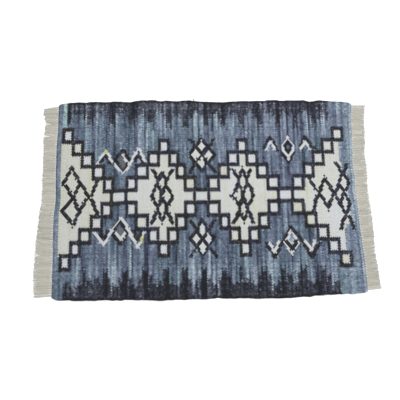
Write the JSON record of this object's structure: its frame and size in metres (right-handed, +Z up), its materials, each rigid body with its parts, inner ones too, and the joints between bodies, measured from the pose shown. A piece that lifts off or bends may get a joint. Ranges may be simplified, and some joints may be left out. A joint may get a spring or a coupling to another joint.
{
  "type": "rag rug",
  "caption": "Flat woven rag rug with stepped diamond figures and a knotted cotton fringe at both ends, lying flat.",
  "frame": {"origin": "on the floor, under the middle of the rug's box", "axes": "+Z up from the floor, +X along the warps from the left fringe to the right fringe, +Y along the wefts to the far selvedge"},
  "size_m": [1.5198, 0.9166, 0.0079],
  "materials": {
    "denim_weave": "matt flat weave of denim rags in blues, charcoal and off-white",
    "cotton_fringe": "matt cream cotton warp yarn"
  },
  "bodies": {
    "root": {"woven_cloth": "denim_weave", "left_fringe": "cotton_fringe", "right_fringe": "cotton_fringe"}
  },
  "joints": []
}
